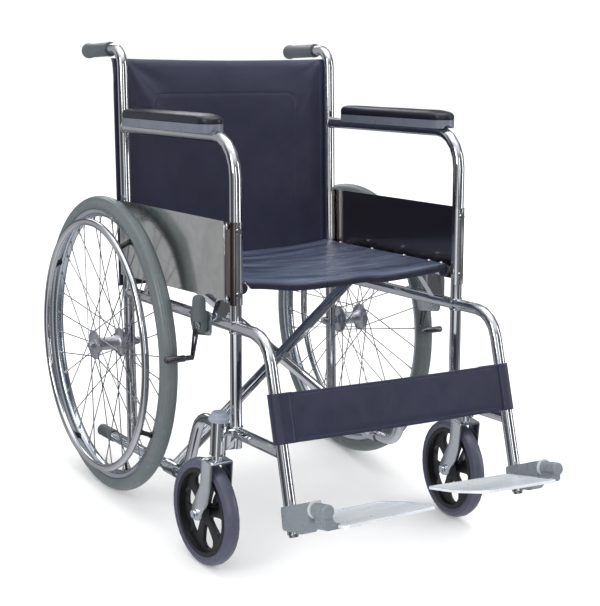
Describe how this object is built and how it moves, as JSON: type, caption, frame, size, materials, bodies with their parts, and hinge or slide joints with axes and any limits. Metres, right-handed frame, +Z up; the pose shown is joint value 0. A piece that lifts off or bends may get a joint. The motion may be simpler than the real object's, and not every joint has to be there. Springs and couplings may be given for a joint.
{
  "type": "manual wheelchair",
  "caption": "Folding manual wheelchair: tubular side frames on a cross brace, sling seat and back, push rims, front castors, lever brakes and flip-up footplates.",
  "frame": {"origin": "on the floor, under the middle of the bounding box", "axes": "-Y is the way the occupant faces, +X is the occupant's left, +Z is up"},
  "size_m": [0.6746, 1.111, 0.9026],
  "materials": {
    "chromed_tube": "bright chrome plate",
    "skirt_plate": "satin sheet steel",
    "zinc_hardware": "bright zinc plate",
    "grey_plastic": "moulded, lightly textured",
    "grey_tyre": "matt",
    "castor_tyre": "matt",
    "black_plastic": "satin",
    "vinyl": "coated cloth, half gloss",
    "pad_vinyl": "moulded skin, half gloss",
    "pad_strip": "satin",
    "cast_aluminium": "bright cast, satin"
  },
  "bodies": {
    "right_frame": {"right_back_cane": "chromed_tube", "right_handle_grip": "grey_plastic", "right_arm_tube": "chromed_tube", "right_seat_tube": "chromed_tube", "right_lower_frame": "chromed_tube", "right_rail_tip": "grey_plastic", "right_castor_housing": "chromed_tube", "right_housing_cap": "grey_plastic", "right_side_panel": "skirt_plate", "right_arm_pad_base": "pad_strip", "right_arm_pad": "pad_vinyl", "right_wheel_axle": "zinc_hardware", "right_foot_bracket": "grey_plastic", "right_brake_bracket": "zinc_hardware", "back_sling": "vinyl", "calf_strap": "vinyl"},
    "brace_a": {"brace_a": "chromed_tube", "brace_pivot": "zinc_hardware", "seat_sling": "vinyl"},
    "brace_b": {"brace_b": "chromed_tube"},
    "left_frame": {"left_back_cane": "chromed_tube", "left_handle_grip": "grey_plastic", "left_arm_tube": "chromed_tube", "left_seat_tube": "chromed_tube", "left_lower_frame": "chromed_tube", "left_rail_tip": "grey_plastic", "left_castor_housing": "chromed_tube", "left_housing_cap": "grey_plastic", "left_side_panel": "skirt_plate", "left_arm_pad_base": "pad_strip", "left_arm_pad": "pad_vinyl", "left_wheel_axle": "zinc_hardware", "left_foot_bracket": "grey_plastic", "left_brake_bracket": "zinc_hardware"},
    "right_wheel": {"right_tyre": "grey_tyre", "right_rim": "chromed_tube", "right_wheel_hub": "zinc_hardware", "right_handrim": "chromed_tube"},
    "right_castor_swivel": {"right_castor_fork": "zinc_hardware", "right_castor_axle": "zinc_hardware"},
    "right_castor_wheel": {"right_castor_tyre": "castor_tyre", "right_castor_core": "black_plastic"},
    "right_foot_support": {"right_foot_hinge": "grey_plastic", "right_footplate": "cast_aluminium"},
    "right_brake_handle": {"right_brake_lever": "grey_plastic"},
    "right_brake_link": {"right_brake_shoe": "zinc_hardware"},
    "left_wheel": {"left_tyre": "grey_tyre", "left_rim": "chromed_tube", "left_wheel_hub": "zinc_hardware", "left_handrim": "chromed_tube"},
    "left_castor_swivel": {"left_castor_fork": "zinc_hardware", "left_castor_axle": "zinc_hardware"},
    "left_castor_wheel": {"left_castor_tyre": "castor_tyre", "left_castor_core": "black_plastic"},
    "left_foot_support": {"left_foot_hinge": "grey_plastic", "left_footplate": "cast_aluminium"},
    "left_brake_handle": {"left_brake_lever": "grey_plastic"},
    "left_brake_link": {"left_brake_shoe": "zinc_hardware"}
  },
  "joints": [
    {"name": "fold", "type": "hinge", "parent": "right_frame", "child": "brace_a", "pos_m": [-0.246, 0.03328, 0.10181], "axis": [0, -0.9945, 0.1045], "range_deg": [0, 29], "deforming": ["seat_sling", "back_sling", "calf_strap"]},
    {"name": "brace_cross", "type": "hinge", "parent": "brace_a", "child": "brace_b", "pos_m": [0, 0.06672, 0.30513], "axis": [0, -0.9945, 0.1045], "range_deg": [-58, 0]},
    {"name": "left_frame_pivot", "type": "hinge", "parent": "brace_b", "child": "left_frame", "pos_m": [0.246, 0.05715, 0.09931], "axis": [0, -0.9945, 0.1045], "range_deg": [0, 29]},
    {"name": "right_wheel_spin", "type": "hinge", "parent": "right_frame", "child": "right_wheel", "pos_m": [-0.2963, 0.25251, 0.303], "axis": [1, 0, 0], "continuous": true},
    {"name": "right_castor_steer", "type": "hinge", "parent": "right_frame", "child": "right_castor_swivel", "pos_m": [-0.282, -0.21149, 0.25], "axis": [0, 0, 1], "continuous": true},
    {"name": "right_castor_spin", "type": "hinge", "parent": "right_castor_swivel", "child": "right_castor_wheel", "pos_m": [-0.28416, -0.18056, 0.101], "axis": [0.9976, 0.0698, 0], "continuous": true},
    {"name": "right_footplate_flip", "type": "hinge", "parent": "right_frame", "child": "right_foot_support", "pos_m": [-0.246, -0.44749, 0.2078], "axis": [0, -0.9613, 0.2756], "range_deg": [0, 88]},
    {"name": "right_brake", "type": "hinge", "parent": "right_frame", "child": "right_brake_handle", "pos_m": [-0.262, -0.09977, 0.43354], "axis": [1, 0, 0], "range_deg": [0, 55]},
    {"name": "right_brake_press", "type": "hinge", "parent": "right_frame", "child": "right_brake_link", "pos_m": [-0.262, -0.07433, 0.42684], "axis": [1, 0, 0], "range_deg": [0, 7.5]},
    {"name": "left_wheel_spin", "type": "hinge", "parent": "left_frame", "child": "left_wheel", "pos_m": [0.2963, 0.25251, 0.303], "axis": [1, 0, 0], "continuous": true},
    {"name": "left_castor_steer", "type": "hinge", "parent": "left_frame", "child": "left_castor_swivel", "pos_m": [0.282, -0.21149, 0.25], "axis": [0, 0, 1], "continuous": true},
    {"name": "left_castor_spin", "type": "hinge", "parent": "left_castor_swivel", "child": "left_castor_wheel", "pos_m": [0.28416, -0.18056, 0.101], "axis": [0.9976, -0.0698, 0], "continuous": true},
    {"name": "left_footplate_flip", "type": "hinge", "parent": "left_frame", "child": "left_foot_support", "pos_m": [0.246, -0.44749, 0.2078], "axis": [0, 0.9613, -0.2756], "range_deg": [0, 88]},
    {"name": "left_brake", "type": "hinge", "parent": "left_frame", "child": "left_brake_handle", "pos_m": [0.262, -0.09977, 0.43354], "axis": [1, 0, 0], "range_deg": [0, 55]},
    {"name": "left_brake_press", "type": "hinge", "parent": "left_frame", "child": "left_brake_link", "pos_m": [0.262, -0.07433, 0.42684], "axis": [1, 0, 0], "range_deg": [0, 7.5]}
  ],
  "couplings": [
    {"joint": "brace_cross", "follows": "fold", "ratio": -2},
    {"joint": "left_frame_pivot", "follows": "fold", "ratio": 1},
    {"joint": "right_brake_press", "follows": "right_brake", "ratio": 0.13},
    {"joint": "left_brake_press", "follows": "left_brake", "ratio": 0.13}
  ]
}
